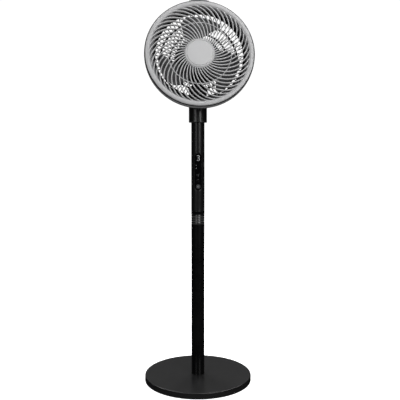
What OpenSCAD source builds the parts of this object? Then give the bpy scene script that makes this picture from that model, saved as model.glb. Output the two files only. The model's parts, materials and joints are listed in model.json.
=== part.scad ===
// Pedestal fan with a round base, a slim two-part pole, a swivel neck and a tilting grille head.
// Millimetres. +Z is up, the fan faces -Y, and the origin is the centre of the footprint on the floor.

/* [Base] */
// Diameter of the round base
base_d = 305; // [298:1:312]
// Height of the base's top face above the floor
base_h = 17; // [16:0.1:18]
// Rounding of the base's top edge
base_edge = 2; // [1:0.25:2.2]

/* [Pole] */
// Outer diameter of the pole and the control tube
pole_d = 37.2; // [36.8:0.1:37.6]
// Height where the lower pole meets the ribbed coupling sleeve
sleeve_z = 450.5; // [420:0.5:455]
// Spacing of the four beads on the coupling sleeve
bead_pitch = 6.8; // [6.4:0.1:7]
// Depth of the grooves between the beads
bead_depth = 1.3; // [0.8:0.1:1.6]
// Height of the control tube's top end
tube_top_z = 741; // [740:0.2:741]

/* [Control panel] */
// Width of the dark window
panel_w = 21.6; // [20:0.2:23]
// Height of the lower end of the window
panel_z0 = 546.6; // [540:0.2:552]
// Height of the upper end of the window
panel_z1 = 650; // [646:0.5:654]
// Diameter of the power button
button_d = 12; // [10:0.5:12.5]

/* [Neck] */
// Outer diameter of the swivel collar
collar_d = 50.8; // [50:0.2:52]
// Gap between the neck's fork cheeks
fork_gap = 30; // [29:0.5:31]

/* [Head] */
// Height of the centre of the front grille
head_z = 914; // [912:0.5:920]
// Distance from the pole's axis forward to the front grille
head_fwd = 100; // [98:0.5:102]
// Upward tilt of the head in the rest pose
rest_tilt = 12; // [11:0.5:13]
// Outer diameter of the silver front ring
ring_d = 287; // [284:0.5:288]
// Outer diameter of the rear shell's rim
shell_d = 292.8; // [292:0.2:294]
// Depth of the rear bowl behind its rim
bowl_depth = 60; // [58:0.5:61]

/* [Front grille] */
// Number of curved ribs
rib_n = 43; // [39:1:45]
// Width of one rib
rib_w = 2.7; // [2.4:0.1:3]
// Radius of the thin reinforcing ring
brace_r = 84; // [80:0.5:88]
// Diameter of the hub cap
hub_d = 80.4; // [79:0.2:82]

/* [Rear grille] */
// Number of straight radial ribs
rear_n = 72; // [66:2:74]
// Thickness of one radial rib
rear_w = 2; // [1.8:0.1:2.2]

/* [Rotor] */
// Tip diameter of the three blades
rotor_d = 220; // [216:1:221]
// Thickness of a blade
blade_t = 1.8; // [1.6:0.1:2.2]

/* [Hidden] */
$fn = 96;
pole_r = pole_d / 2;
base_r = base_d / 2;
sleeve_top = 488;
bead_z0 = 456.1;
bore_slip = 0.05;
hinge_d = 113;
hinge_h = -70;
hinge_y = -head_fwd + hinge_d * cos(rest_tilt) + hinge_h * sin(rest_tilt);
hinge_z = head_z - hinge_d * sin(rest_tilt) + hinge_h * cos(rest_tilt);
ring_r = ring_d / 2;
shell_r = shell_d / 2;
hub_r = hub_d / 2;
rib_arc_r = 72.5;
rib_arc_x = 16.94;
rib_arc_y = -69.3;
throat_r = 116.7;
throat_d = 22;
motor_r = 32;
pod_r = 50;
lug_w = fork_gap - 0.4;
panel_cz0 = panel_z0 + panel_w / 2;
panel_cz1 = panel_z1 - panel_w / 2;

// Blade sections: radius, front-view angles of trailing and leading edge, depth of both edges.
blade_sections = [
    [26, 136, 100, 20, 37],
    [40, 133, 90, 17.5, 36],
    [56, 130, 79, 16, 35],
    [74, 126.5, 67, 15.5, 34.5],
    [92, 120.5, 58, 15.5, 35],
    [104, 116, 55, 16.5, 36],
    [110, 113, 55, 17.5, 36]
];

// ---- helpers ----

// Places head parts: local X right, Y backward along the fan axis, Z up.
module head() {
    translate([0, -head_fwd, head_z])
        rotate([-rest_tilt, 0, 0])
            children();
}

// Turns a solid built along +Z so that it runs backward along the fan axis.
module axial() {
    rotate([-90, 0, 0])
        children();
}

// Ring round the fan axis from depth d0 to d1.
module axial_ring(ro, ri, d0, d1) {
    axial()
        translate([0, 0, d0])
            difference() {
                cylinder(r = ro, h = d1 - d0);
                translate([0, 0, -1])
                    cylinder(r = ri, h = d1 - d0 + 2);
            }
}

// Ring round the vertical axis from z0 to z1.
module ring(ro, ri, z0, z1) {
    difference() {
        translate([0, 0, z0])
            cylinder(r = ro, h = z1 - z0);
        translate([0, 0, z0 - 1])
            cylinder(r = ri, h = z1 - z0 + 2);
    }
}

module ring_copies(n, r, phase = 0) {
    for (i = [0 : n - 1])
        rotate([0, 0, phase + i * 360 / n])
            translate([r, 0, 0])
                children();
}

// Depth of the rear bowl's outer face at radius r, with its rim plane at d = 16.
function bowl_d(r) = 16 + bowl_depth * sqrt(max(0, 1 - (r / shell_r) * (r / shell_r)));

// ---- base ----

module base_shell() {
    color("#3c3d40")
        difference() {
            union() {
                rotate_extrude()
                    polygon(concat(
                        [[0, 7.6], [0, base_h]],
                        [for (i = [0 : 6])
                            [base_r - base_edge + base_edge * sin(i * 15),
                             base_h - base_edge + base_edge * cos(i * 15)]],
                        [[base_r, 1.6], [base_r - 0.8, 0.8], [base_r - 2.8, 0.8],
                         [base_r - 2.8, base_h - 2.6], [26, base_h - 2.6], [26, 7.6]]));
                ring_copies(4, 130, 45)
                    translate([0, 0, 4.2])
                        cylinder(r = 5.2, h = base_h - 5.5);
            }
            cylinder(r = pole_r + 0.1, h = 40);
            gland_hole();
            ring_copies(4, 130, 45)
                cylinder(r = 2, h = 11);
        }
}

module gland_hole() {
    translate([0, base_r - 10, 8])
        rotate([-90, 0, 0])
            cylinder(r = 5.1, h = 20);
}

module base_plate() {
    color("#2a2a2c")
        difference() {
            rotate_extrude()
                polygon([[4.2, 5.2], [24, 5.2], [24, 1.8], [base_r - 3.2, 1.8], [base_r - 3.2, 4],
                    [26.2, 4], [26.2, 7.4], [4.2, 7.4]]);
            gland_hole();
            ring_copies(4, 130, 45)
                cylinder(r = 2.1, h = 10);
        }
}

module base_weight() {
    color("#3a3a3a")
        difference() {
            translate([0, 0, 4.2])
                cylinder(r = base_r - 14, h = base_h - 7);
            cylinder(r = 26.8, h = 40);
            ring_copies(4, 130, 45)
                cylinder(r = 5.6, h = 40);
        }
}

module base_feet() {
    color("#1a1a1a")
        ring_copies(5, 138, 90)
            cylinder(r = 8, h = 1.8);
}

module base_screws() {
    color("#9a9a9c")
        ring_copies(4, 130, 45) {
            translate([0, 0, 0.5])
                cylinder(r = 3.6, h = 1.3);
            translate([0, 0, 1.8])
                cylinder(r = 2, h = 9);
        }
}

module cord_gland() {
    color("#151515")
        difference() {
            translate([0, base_r - 9, 8])
                rotate([-90, 0, 0])
                    cylinder(r = 5, h = 8.8);
            translate([0, base_r - 12, 8])
                rotate([-90, 0, 0])
                    cylinder(r = 3.1, h = 20);
        }
}

module pole_bolt() {
    color("#b0b0b2") {
        translate([0, 0, 1.8])
            cylinder(r = 6.8, h = 3.4, $fn = 6);
        translate([0, 0, 5.2])
            cylinder(r = 3.9, h = 26);
    }
}

module pole_plug() {
    color("#8e8e90")
        difference() {
            translate([0, 0, 7.6])
                cylinder(r = 16.9, h = 32);
            cylinder(r = 4, h = 32);
        }
}

// ---- pole ----

module lower_pole() {
    color("#121214")
        ring(pole_r, 17, 7.6, sleeve_z);
}

module coupling_sleeve() {
    n = 12;
    z1 = bead_z0 + 3.5 * bead_pitch;
    z0 = bead_z0 - 0.5 * bead_pitch;
    color("#17171a")
        rotate_extrude()
            polygon(concat(
                [[15.2, sleeve_z], [pole_r, sleeve_z], [pole_r, z0 - 0.6]],
                [for (b = [0 : 3], i = [0 : n - 1])
                    [pole_r - bead_depth * (1 - abs(sin(180 * (i + 0.5) / n))),
                     z0 + bead_pitch * (b + (i + 0.5) / n)]],
                [[pole_r, z1 + 0.6], [pole_r, sleeve_top], [15.2, sleeve_top]]));
}

module coupling_core() {
    color("#6d6d70")
        ring(15, 12, 425, 512);
}

module control_tube() {
    color("#1b1b1e")
        difference() {
            ring(pole_r, 16.2, sleeve_top + 0.1, tube_top_z);
            panel_prism(panel_w + 0.3, 30);
        }
}

// Upright prism with round ends, cut through the front wall only.
module panel_prism(w, depth) {
    rotate([90, 0, 0])
        linear_extrude(height = depth)
            union() {
                translate([-w / 2, panel_cz0])
                    square([w, panel_cz1 - panel_cz0]);
                translate([0, panel_cz0])
                    circle(r = w / 2);
                translate([0, panel_cz1])
                    circle(r = w / 2);
            }
}

// ---- control panel ----

module panel_window() {
    color("#050506")
        difference() {
            intersection() {
                ring(pole_r, 16.4, panel_z0 - 5, panel_z1 + 5);
                panel_prism(panel_w, 30);
            }
            translate([0, 0, panel_cz0])
                rotate([90, 0, 0])
                    cylinder(r = button_d / 2 + 0.35, h = 30);
        }
}

module power_button() {
    color("#4a4a4d")
        translate([0, 0, panel_cz0])
            intersection() {
                translate([0, -14.4, 0])
                    rotate([90, 0, 0])
                        cylinder(r = button_d / 2, h = 10);
                translate([0, 0, -20])
                    cylinder(r = pole_r + 0.4, h = 40);
            }
}

module control_board() {
    color("#1f4a30")
        difference() {
            union() {
                translate([-9, -9.8, panel_z0 - 2])
                    cube([18, 1.6, panel_z1 - panel_z0 + 4]);
                translate([-6, -8.2, 596])
                    cube([8, 2.4, 8]);
                translate([-7, -8.2, 620])
                    cube([12, 4, 14]);
            }
            for (z = [panel_z0 + 26, panel_z1 - 42])
                translate([6.5, -20, z])
                    rotate([-90, 0, 0])
                        cylinder(r = 1.3, h = 30);
        }
}

module digit_display() {
    color("#e8e8e8")
        translate([1.1 - 6, -14.5, 637.5 - 10])
            cube([12, 4.6, 20]);
}

module panel_lamps() {
    color("#9aa0a6") {
        for (z = [616.6, 608.2])
            translate([-5.9, -9.9, z])
                rotate([90, 0, 0])
                    cylinder(r = 1.6, h = 4.6);
        for (z = [590, 576])
            translate([-4.8, -12.5, z - 3.5])
                cube([8, 2.6, 7]);
    }
}

module button_switch() {
    color("#777777") {
        translate([-3.5, -12.3, panel_cz0 - 3.5])
            cube([7, 2.4, 7]);
        translate([0, -12.3, panel_cz0])
            rotate([90, 0, 0])
                cylinder(r = 1.6, h = 0.9);
    }
}

module board_bracket() {
    color("#2c2c2e")
        difference() {
            union() {
                translate([-15.8, -3.4, panel_z0 + 1.4])
                    cube([31.6, 1.8, panel_z1 - panel_z0 - 2]);
                for (z = [panel_z0 + 26, panel_z1 - 42])
                    translate([6.5, -8.1, z])
                        rotate([-90, 0, 0])
                            cylinder(r = 2.9, h = 5);
            }
            for (z = [panel_z0 + 26, panel_z1 - 42])
                translate([6.5, -20, z])
                    rotate([-90, 0, 0])
                        cylinder(r = 1.25, h = 30);
        }
}

module board_screws() {
    color("#a8a8aa")
        for (z = [panel_z0 + 26, panel_z1 - 42])
            translate([6.5, -10.9, z])
                rotate([-90, 0, 0]) {
                    cylinder(r = 2.2, h = 1.1);
                    cylinder(r = 1.2, h = 6);
                }
}

// ---- swivel drive ----

module swivel_motor() {
    color("#8c8c90")
        difference() {
            union() {
                translate([0, 0, 660])
                    cylinder(r = 12.5, h = 46);
                translate([0, 0, 706])
                    cylinder(r = 16, h = 3);
            }
            translate([0, 0, 696])
                cylinder(r = 3 + bore_slip, h = 30);
        }
}

module tube_cap() {
    color("#26262a")
        difference() {
            translate([0, 0, 709.2])
                cylinder(r = 16.1, h = tube_top_z - 709.2);
            translate([0, 0, 700])
                cylinder(r = 8.2, h = 60);
            translate([0, 0, 709])
                cylinder(r = 14, h = 9);
            translate([0, 0, 733])
                cylinder(r = 14, h = 20);
        }
}

module swivel_bearings() {
    color("#c4c4c8") {
        ring(13.95, 7.5, 711, 718);
        ring(13.95, 7.5, 733, 740);
    }
}

module swivel_shaft() {
    color("#b8b8bc")
        difference() {
            union() {
                translate([0, 0, 697])
                    cylinder(r = 3, h = 14);
                translate([0, 0, 710])
                    cylinder(r = 7.45, h = 61);
                translate([0, 0, 741.5])
                    cylinder(r = 18, h = 3.3);
            }
            translate([0, 0, 714])
                cylinder(r = 5, h = 60);
            ring_copies(3, 14.5, 90)
                translate([0, 0, 735]) {
                    cylinder(r = 1.6, h = 20);
                    cylinder(r = 2.9, h = 8.2);
                }
        }
}

// ---- neck ----

module collar() {
    color("#1a1a1d")
        rotate_extrude()
            polygon([[pole_r + 0.45, 737.1], [collar_d / 2 - 0.5, 737.1], [collar_d / 2, 737.6],
                [collar_d / 2, 774.4], [collar_d / 2 - 0.6, 775], [23, 775], [23, 744.6],
                [pole_r + 0.45, 744.6]]);
}

module neck_fork() {
    color("#161618")
        difference() {
            union() {
                translate([0, 0, 744.9])
                    cylinder(r = 22.9, h = 30.3);
                intersection() {
                    translate([0, 0, 775.2])
                        cylinder(r = collar_d / 2, h = 90);
                    rotate([90, 0, 90])
                        translate([0, 0, -40])
                            linear_extrude(height = 80)
                                union() {
                                    polygon([[-30, 770], [30, 770], [30, 789], [14.5, 797],
                                        [hinge_y + 13, hinge_z + 5], [hinge_y - 13, hinge_z + 5],
                                        [hinge_y - 18, 801], [-30, 792]]);
                                    translate([hinge_y, hinge_z])
                                        circle(r = 16);
                                }
                }
            }
            translate([-fork_gap / 2, -60, hinge_z - 18.2])
                cube([fork_gap, 120, 60]);
            translate([0, 0, 730])
                cylinder(r = 7.5, h = 41.1);
            translate([-60, hinge_y, hinge_z])
                rotate([0, 90, 0])
                    cylinder(r = 4, h = 120);
            for (s = [-1, 1])
                translate([s * fork_gap / 2 - 2.5, hinge_y, hinge_z])
                    rotate([0, 90, 0])
                        cylinder(r = 10, h = 5);
            ring_copies(3, 14.5, 90)
                translate([0, 0, 740])
                    cylinder(r = 1.55, h = 19);
        }
}

module neck_screws() {
    color("#a8a8aa")
        ring_copies(3, 14.5, 90) {
            translate([0, 0, 741.7])
                cylinder(r = 2.8, h = 1.5);
            translate([0, 0, 743.2])
                cylinder(r = 1.5, h = 15);
        }
}

module tilt_pin() {
    color("#b4b4b8")
        translate([-23.6, hinge_y, hinge_z])
            rotate([0, 90, 0])
                cylinder(r = 3.95, h = 47.2);
}

module tilt_discs() {
    color("#7a6a50")
        for (s = [-1, 1])
            translate([s * (fork_gap / 2 + 1.3), hinge_y, hinge_z])
                rotate([0, 90, 0])
                    translate([0, 0, -1.15])
                        difference() {
                            cylinder(r = 9.9, h = 2.3);
                            translate([0, 0, -1])
                                cylinder(r = 4, h = 5);
                        }
}

// ---- head: rear ----

module motor_pod() {
    color("#141416")
        head()
            difference() {
                union() {
                    axial()
                        rotate_extrude()
                            polygon([[pod_r - 2.2, 76.1], [pod_r, 76.1], [pod_r, 120], [48.6, 125],
                                [45, 129], [40, 131.2], [30, 132.4], [0, 132.6], [0, 130.2],
                                [29, 130], [39, 128.8], [43.4, 127], [46.5, 123.6], [pod_r - 2.2, 119]]);
                    translate([-lug_w / 2, hinge_d, hinge_h])
                        rotate([0, 90, 0])
                            cylinder(r = 15.5, h = lug_w);
                    translate([-lug_w / 2, hinge_d - 15, hinge_h])
                        cube([lug_w, 30, 24.2]);
                    axial()
                        ring_copies(4, 44.2, 45)
                            translate([0, 0, 76.1])
                                cylinder(r = 4, h = 18);
                }
                translate([-40, hinge_d, hinge_h])
                    rotate([0, 90, 0])
                        cylinder(r = 3.95 + bore_slip, h = 80);
                axial()
                    ring_copies(12, 28)
                        translate([-6, -1.2, 122])
                            cube([12, 2.4, 20]);
                axial()
                    ring_copies(4, 44.2, 45)
                        translate([0, 0, 70])
                            cylinder(r = 1.65, h = 20);
            }
}

module pod_screws() {
    color("#a8a8aa")
        head()
            axial()
                ring_copies(4, 44.2, 45) {
                    translate([0, 0, 72.4])
                        cylinder(r = 3, h = 1.6);
                    translate([0, 0, 74])
                        cylinder(r = 1.6, h = 14);
                }
}

// One radial rib of the bowl, in the plane of the fan axis.
module rear_rib() {
    pts = [for (i = [0 : 11]) let (r = 144.8 - 7.4 * i) [r, bowl_d(r)]];
    inner = [for (i = [11 : -1 : 0]) let (r = 144.8 - 7.4 * i) [r - 1.2, bowl_d(r) - 3.4]];
    rotate([90, 0, 0])
        translate([0, 0, -rear_w / 2])
            linear_extrude(height = rear_w)
                polygon(concat(pts, inner));
}

module rear_grille() {
    rim = [for (i = [0 : 4]) let (r = shell_r - 0.75 * i) [r, bowl_d(r)]];
    color("#101012")
        head()
            axial()
                difference() {
                    union() {
                        rotate_extrude()
                            polygon(concat([[144.5, 11], [shell_r, 11]], rim,
                                [[shell_r - 6.2, bowl_d(shell_r - 3) - 1.5], [144.5, 18]]));
                        rotate_extrude()
                            polygon([[102, 53.6], [107.2, 53], [107.2, bowl_d(107.2)],
                                [102, bowl_d(102)]]);
                        rotate_extrude()
                            polygon([[76.8, 62], [81.6, 61], [81.6, bowl_d(81.6)],
                                [76.8, bowl_d(76.8)]]);
                        translate([0, 0, 66.2])
                            cylinder(r = 67, h = 3);
                        translate([0, 0, 69.2])
                            cylinder(r = 51.5, h = 6.8);
                        ring_copies(rear_n, 0)
                            rear_rib();
                    }
                    translate([0, 0, 60])
                        cylinder(r = motor_r + 0.1, h = 60);
                    ring_copies(4, 44.2, 45)
                        translate([0, 0, 60])
                            cylinder(r = 1.65, h = 60);
                    ring_copies(4, 44.2, 45)
                        translate([0, 0, 60])
                            cylinder(r = 3.4, h = 14);
                    ring_copies(4, 37.5, 0)
                        translate([0, 0, 60])
                            cylinder(r = 1.55, h = 60);
                }
}

module trim_ring() {
    color("#77787c")
        head()
            difference() {
                union() {
                    axial_ring(145, 141.5, 4.6, 10.8);
                    for (s = [-1, 1])
                        translate([s * 24.6 - 1.2, 7, 141])
                            cube([2.4, 3.2, 7.3]);
                }
                translate([-40, 8.5, 146.6])
                    rotate([0, 90, 0])
                        cylinder(r = 0.75, h = 80);
            }
}

// ---- head: front ----

module air_duct() {
    n = 8;
    bell = [for (i = [0 : n]) let (a = 90 * i / n)
        [throat_r + 13.8 * (1 - sin(a)), throat_d - 12 * cos(a)]];
    outer = [for (i = [n : -1 : 0]) let (a = 90 * i / n)
        [throat_r + 2 + 13.6 * (1 - sin(a)), throat_d - 9.6 * cos(a)]];
    color("#b9babd")
        head()
            axial()
                rotate_extrude()
                    polygon(concat([[144.3, 12.6], [144.3, 11], [141.2, 11], [141.2, 10]], bell,
                        [[117.4, 27], [119.3, 33], [122.5, 38.4], [124.3, 37.4], [121.2, 32], [119.4, 26.6]],
                        outer, [[132.5, 12.6]]));
}

module front_grille() {
    color("#c9cacc")
        head()
            axial()
                difference() {
                    union() {
                        rotate_extrude()
                            polygon([[131, 3.2], [132.4, 1.3], [133.8, 0.3], [135.6, 0], [141, 0],
                                [142.7, 0.5], [ring_r, 1.6], [ring_r, 4.4], [141.2, 4.4], [141.2, 9.8],
                                [138.8, 9.8], [138.8, 3.2], [136, 2.8], [132.8, 3.6], [132.4, 9.4],
                                [131, 9.4]]);
                        for (i = [0 : rib_n - 1])
                            rotate([0, 0, i * 360 / rib_n])
                                translate([rib_arc_x, rib_arc_y, 2.6])
                                    rotate([0, 0, -32.2])
                                        rotate_extrude(angle = 106.4)
                                            translate([rib_arc_r - rib_w / 2, 0])
                                                square([rib_w, 6.6]);
                        translate([0, 0, 3])
                            difference() {
                                cylinder(r = brace_r + 1, h = 3.4);
                                translate([0, 0, -1])
                                    cylinder(r = brace_r - 1, h = 6);
                            }
                        translate([0, 0, 6.6])
                            difference() {
                                cylinder(r = hub_r, h = 4);
                                translate([0, 0, -1])
                                    cylinder(r = 10, h = 6);
                            }
                    }
                    translate([0, 0, -1])
                        cylinder(r = hub_r + 0.05, h = 7.56);
                }
}

module hub_cap() {
    color("#c4c5c7")
        head()
            axial()
                difference() {
                    union() {
                        rotate_extrude()
                            polygon([[0, 1.6], [35.6, 1.6], [37.6, 2.1], [hub_r, 4.2],
                                [hub_r, 6.5], [0, 6.5]]);
                        translate([0, 0, 6.5])
                            cylinder(r = 9.8, h = 5.5);
                    }
                    difference() {
                        cylinder(r = 35.6, h = 2.3);
                        cylinder(r = 34.8, h = 2.3);
                    }
                }
}

module latch() {
    color("#bcbdc0")
        head()
            difference() {
                intersection() {
                    axial_ring(149.2, 146, 1.5, 10);
                    translate([-22.6, 0, 120])
                        cube([45.2, 20, 40]);
                }
                translate([-40, 8.5, 146.6])
                    rotate([0, 90, 0])
                        cylinder(r = 0.75, h = 80);
            }
}

module latch_pin() {
    color("#b0b0b2")
        head()
            translate([-25.8, 8.5, 146.6])
                rotate([0, 90, 0])
                    cylinder(r = 0.7, h = 51.6);
}

// ---- motor ----

module motor_can() {
    color("#6f6f73")
        head()
            axial()
                difference() {
                    union() {
                        translate([0, 0, 47])
                            cylinder(r = motor_r, h = 56);
                        translate([0, 0, 76.1])
                            cylinder(r = 40, h = 2.4);
                    }
                    translate([0, 0, 49.2])
                        cylinder(r = 30, h = 51.6);
                    translate([0, 0, 40])
                        cylinder(r = 5.4, h = 80);
                    translate([0, 0, 40])
                        cylinder(r = 9.6, h = 12);
                    translate([0, 0, 99])
                        cylinder(r = 9.6, h = 20);
                    ring_copies(4, 37.5, 0)
                        translate([0, 0, 60])
                            cylinder(r = 1.55, h = 60);
                }
}

module motor_screws() {
    color("#a8a8aa")
        head()
            axial()
                ring_copies(4, 37.5, 0) {
                    translate([0, 0, 67])
                        cylinder(r = 1.5, h = 11.5);
                    translate([0, 0, 78.5])
                        cylinder(r = 2.6, h = 1.6);
                }
}

module motor_stator() {
    color("#9c6a3a")
        head()
            axial()
                difference() {
                    translate([0, 0, 58])
                        cylinder(r = 29.8, h = 36);
                    translate([0, 0, 50])
                        cylinder(r = 16.5, h = 60);
                    ring_copies(6, 23, 30)
                        translate([0, 0, 50])
                            cylinder(r = 3.2, h = 60);
                }
}

module motor_bearings() {
    color("#c4c4c8")
        head() {
            axial_ring(9.55, 4, 47.2, 52);
            axial_ring(9.55, 4, 99, 103);
        }
}

module motor_rotor() {
    color("#4d4d52")
        head()
            axial_ring(16, 3.95, 59, 93);
}

module motor_shaft() {
    color("#b8b8bc")
        head()
            axial()
                translate([0, 0, 16.4])
                    cylinder(r = 3.95, h = 90.6);
}

// ---- rotor ----

// Point on a blade: section s, station u from trailing (0) to leading (1), side 0 front or 1 back.
function blade_pt(s, u, side) =
    let (b = blade_sections[s],
         a = b[1] + (b[2] - b[1]) * u,
         d = b[3] + (b[4] - b[3]) * u + 3 * sin(180 * u) + side * blade_t * (0.55 + 0.45 * sin(180 * u)))
    [b[0] * rotor_d / 220 * cos(a), -b[0] * rotor_d / 220 * sin(a), d];

module blade() {
    ns = len(blade_sections);
    nu = 8;
    w = nu + 1;
    m = ns * w;
    pts = concat(
        [for (s = [0 : ns - 1], u = [0 : nu]) blade_pt(s, u / nu, 0)],
        [for (s = [0 : ns - 1], u = [0 : nu]) blade_pt(s, u / nu, 1)]);
    front = [for (s = [0 : ns - 2], u = [0 : nu - 1])
        each [[s * w + u, (s + 1) * w + u, (s + 1) * w + u + 1],
              [s * w + u, (s + 1) * w + u + 1, s * w + u + 1]]];
    back = [for (f = front) [m + f[0], m + f[2], m + f[1]]];
    root = [for (u = [0 : nu - 1]) each [[u, u + 1, m + u + 1], [u, m + u + 1, m + u]]];
    tip = [for (u = [0 : nu - 1]) let (k = (ns - 1) * w + u)
        each [[k, m + k, m + k + 1], [k, m + k + 1, k + 1]]];
    trail = [for (s = [0 : ns - 2]) let (k = s * w)
        each [[k, m + k, m + k + w], [k, m + k + w, k + w]]];
    lead = [for (s = [0 : ns - 2]) let (k = s * w + nu)
        each [[k, k + w, m + k + w], [k, m + k + w, m + k]]];
    polyhedron(points = pts, faces = concat(front, back, root, tip, trail, lead));
}

module fan_blades() {
    color("#3a3a3d")
        head()
            axial()
                difference() {
                    union() {
                        difference() {
                            translate([0, 0, 16])
                                cylinder(r = 30, h = 26);
                            translate([0, 0, 28])
                                cylinder(r = 27.5, h = 20);
                        }
                        translate([0, 0, 26])
                            cylinder(r = 8, h = 14);
                        for (i = [0 : 2])
                            rotate([0, 0, i * 120])
                                blade();
                    }
                    cylinder(r = 4, h = 100);
                    translate([0, 0, 10])
                        cylinder(r = 13, h = 14);
                }
}

module spinner_nut() {
    color("#2b2b2e")
        head()
            axial()
                difference() {
                    union() {
                        translate([0, 0, 14.6])
                            cylinder(r = 9, h = 5.6);
                        translate([0, 0, 20])
                            cylinder(r = 12, h = 4);
                    }
                    translate([0, 0, 16.2])
                        cylinder(r = 4, h = 20);
                    ring_copies(8, 10.2)
                        translate([0, 0, 13.6])
                            cylinder(r = 2, h = 5.4);
                }
}

// ---- draw ----

base_shell();
base_plate();
base_weight();
base_feet();
base_screws();
cord_gland();
pole_bolt();
pole_plug();
lower_pole();
coupling_sleeve();
coupling_core();
control_tube();
panel_window();
power_button();
control_board();
digit_display();
panel_lamps();
button_switch();
board_bracket();
board_screws();
swivel_motor();
tube_cap();
swivel_bearings();
swivel_shaft();
collar();
neck_fork();
neck_screws();
tilt_pin();
tilt_discs();
motor_pod();
pod_screws();
rear_grille();
trim_ring();
air_duct();
front_grille();
hub_cap();
latch();
latch_pin();
motor_can();
motor_screws();
motor_stator();
motor_bearings();
motor_rotor();
motor_shaft();
fan_blades();
spinner_nut();
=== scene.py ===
"""Pedestal fan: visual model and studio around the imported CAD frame.

Lengths in the shape code are millimetres and are scaled to metres as each mesh is made.
+Z is up and the fan faces -Y. The head has its own axes: x to the right, h up and d backward
along the fan axis, from the centre of the front ring's face.
"""
import json
import math

import bmesh
import bpy
import numpy as np
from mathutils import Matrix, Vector


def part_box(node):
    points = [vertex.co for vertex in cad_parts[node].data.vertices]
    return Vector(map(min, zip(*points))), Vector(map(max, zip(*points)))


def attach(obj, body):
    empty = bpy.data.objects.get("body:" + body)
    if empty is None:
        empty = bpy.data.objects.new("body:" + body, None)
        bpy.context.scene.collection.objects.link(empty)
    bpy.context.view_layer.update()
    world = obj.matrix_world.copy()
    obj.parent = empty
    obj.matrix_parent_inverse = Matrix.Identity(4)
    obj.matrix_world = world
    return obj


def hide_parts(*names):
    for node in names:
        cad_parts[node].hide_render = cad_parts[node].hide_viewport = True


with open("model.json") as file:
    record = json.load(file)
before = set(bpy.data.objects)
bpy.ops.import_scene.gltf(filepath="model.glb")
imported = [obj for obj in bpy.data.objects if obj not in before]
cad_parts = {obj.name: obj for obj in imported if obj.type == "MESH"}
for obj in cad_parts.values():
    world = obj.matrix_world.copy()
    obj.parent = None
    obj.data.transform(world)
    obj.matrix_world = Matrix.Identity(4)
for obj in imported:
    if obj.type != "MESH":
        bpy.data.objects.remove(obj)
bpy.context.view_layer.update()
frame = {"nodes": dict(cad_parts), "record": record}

MM = 0.001
TAU = 2 * math.pi
scene = bpy.context.scene

# ---- sizes shared with the CAD frame, in millimetres ----
POLE_R = 1000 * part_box("lower_pole")[1].x
BASE_R = 1000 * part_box("base_shell")[1].x
BASE_TOP = 1000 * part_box("base_shell")[1].z
SLEEVE_Z0 = 1000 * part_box("coupling_sleeve")[0].z
SLEEVE_Z1 = 1000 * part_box("coupling_sleeve")[1].z
TUBE_Z0 = 1000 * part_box("control_tube")[0].z
TUBE_Z1 = 1000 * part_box("control_tube")[1].z
PANEL_W = 2000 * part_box("panel_window")[1].x
PANEL_Z0 = 1000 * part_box("panel_window")[0].z
PANEL_Z1 = 1000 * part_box("panel_window")[1].z
BUTTON_Z = PANEL_Z0 + PANEL_W / 2
COLLAR_R = 1000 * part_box("collar")[1].x
COLLAR_Z0 = 1000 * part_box("collar")[0].z
COLLAR_Z1 = 1000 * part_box("collar")[1].z

# The centre of the front ring's face, the head's lean, and the radii of ring, rear rim and cap.
HEAD_FWD, HEAD_Z, TILT = 100.0, 914.0, math.radians(12)
RING_R, SHELL_R, HUB_R = 143.5, 146.4, 40.2


# ---- placing points ----

def upright(a, b, c):
    """Points around the pole: a right, b backward, c up."""
    return np.stack(np.broadcast_arrays(a, b, c), -1).astype(float)


def head(x, h, d):
    """Points in the head's own axes, placed in the fan's frame."""
    y = -HEAD_FWD + d * math.cos(TILT) + h * math.sin(TILT)
    z = HEAD_Z - d * math.sin(TILT) + h * math.cos(TILT)
    return np.stack(np.broadcast_arrays(x, y, z), -1).astype(float)


# ---- mesh parts: each is (points in mm, faces) ----

def grid(points, wrap_u=False, wrap_v=False):
    """Quads through a table of points, joined round on themselves where asked."""
    nu, nv = points.shape[:2]
    faces = []
    for i in range(nu if wrap_u else nu - 1):
        for j in range(nv if wrap_v else nv - 1):
            i1, j1 = (i + 1) % nu, (j + 1) % nv
            faces.append((i * nv + j, i1 * nv + j, i1 * nv + j1, i * nv + j1))
    return points.reshape(-1, 3), faces


def loft(rings):
    """A closed skin through rings of points, capped at both ends."""
    verts, faces = grid(rings, wrap_v=True)
    n, k = rings.shape[:2]
    faces.append(tuple(range(k)))
    faces.append(tuple((n - 1) * k + j for j in reversed(range(k))))
    return verts, faces


# A fillet takes at most this share of a side, and skips a corner that hardly turns.
SIDE_SHARE, NEARLY_STRAIGHT = 0.48, math.radians(89)


def fillet(corners, step=14):
    """A closed outline from (x, y, radius) corners, each rounded in steps of `step` degrees."""
    out = []
    n = len(corners)
    for i, (x, y, r) in enumerate(corners):
        p = np.array([x, y], float)
        a = np.array(corners[i - 1][:2], float) - p
        b = np.array(corners[(i + 1) % n][:2], float) - p
        la, lb = np.linalg.norm(a), np.linalg.norm(b)
        a, b = a / la, b / lb
        cosang = float(np.clip(a @ b, -1, 1))
        half = math.acos(cosang) / 2
        if r <= 0 or half > NEARLY_STRAIGHT:
            out.append(p)
            continue
        t = min(r / math.tan(half), SIDE_SHARE * la, SIDE_SHARE * lb)
        r = t * math.tan(half)
        mid = (a + b) / np.linalg.norm(a + b)
        centre = p + mid * r / math.sin(half)
        start, end = p + a * t - centre, p + b * t - centre
        a0 = math.atan2(start[1], start[0])
        turn = (math.atan2(end[1], end[0]) - a0 + math.pi) % TAU - math.pi
        steps = max(2, math.ceil(abs(math.degrees(turn)) / step))
        for s in range(steps + 1):
            ang = a0 + turn * s / steps
            out.append(centre + r * np.array([math.cos(ang), math.sin(ang)]))
    return np.array(out)


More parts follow.
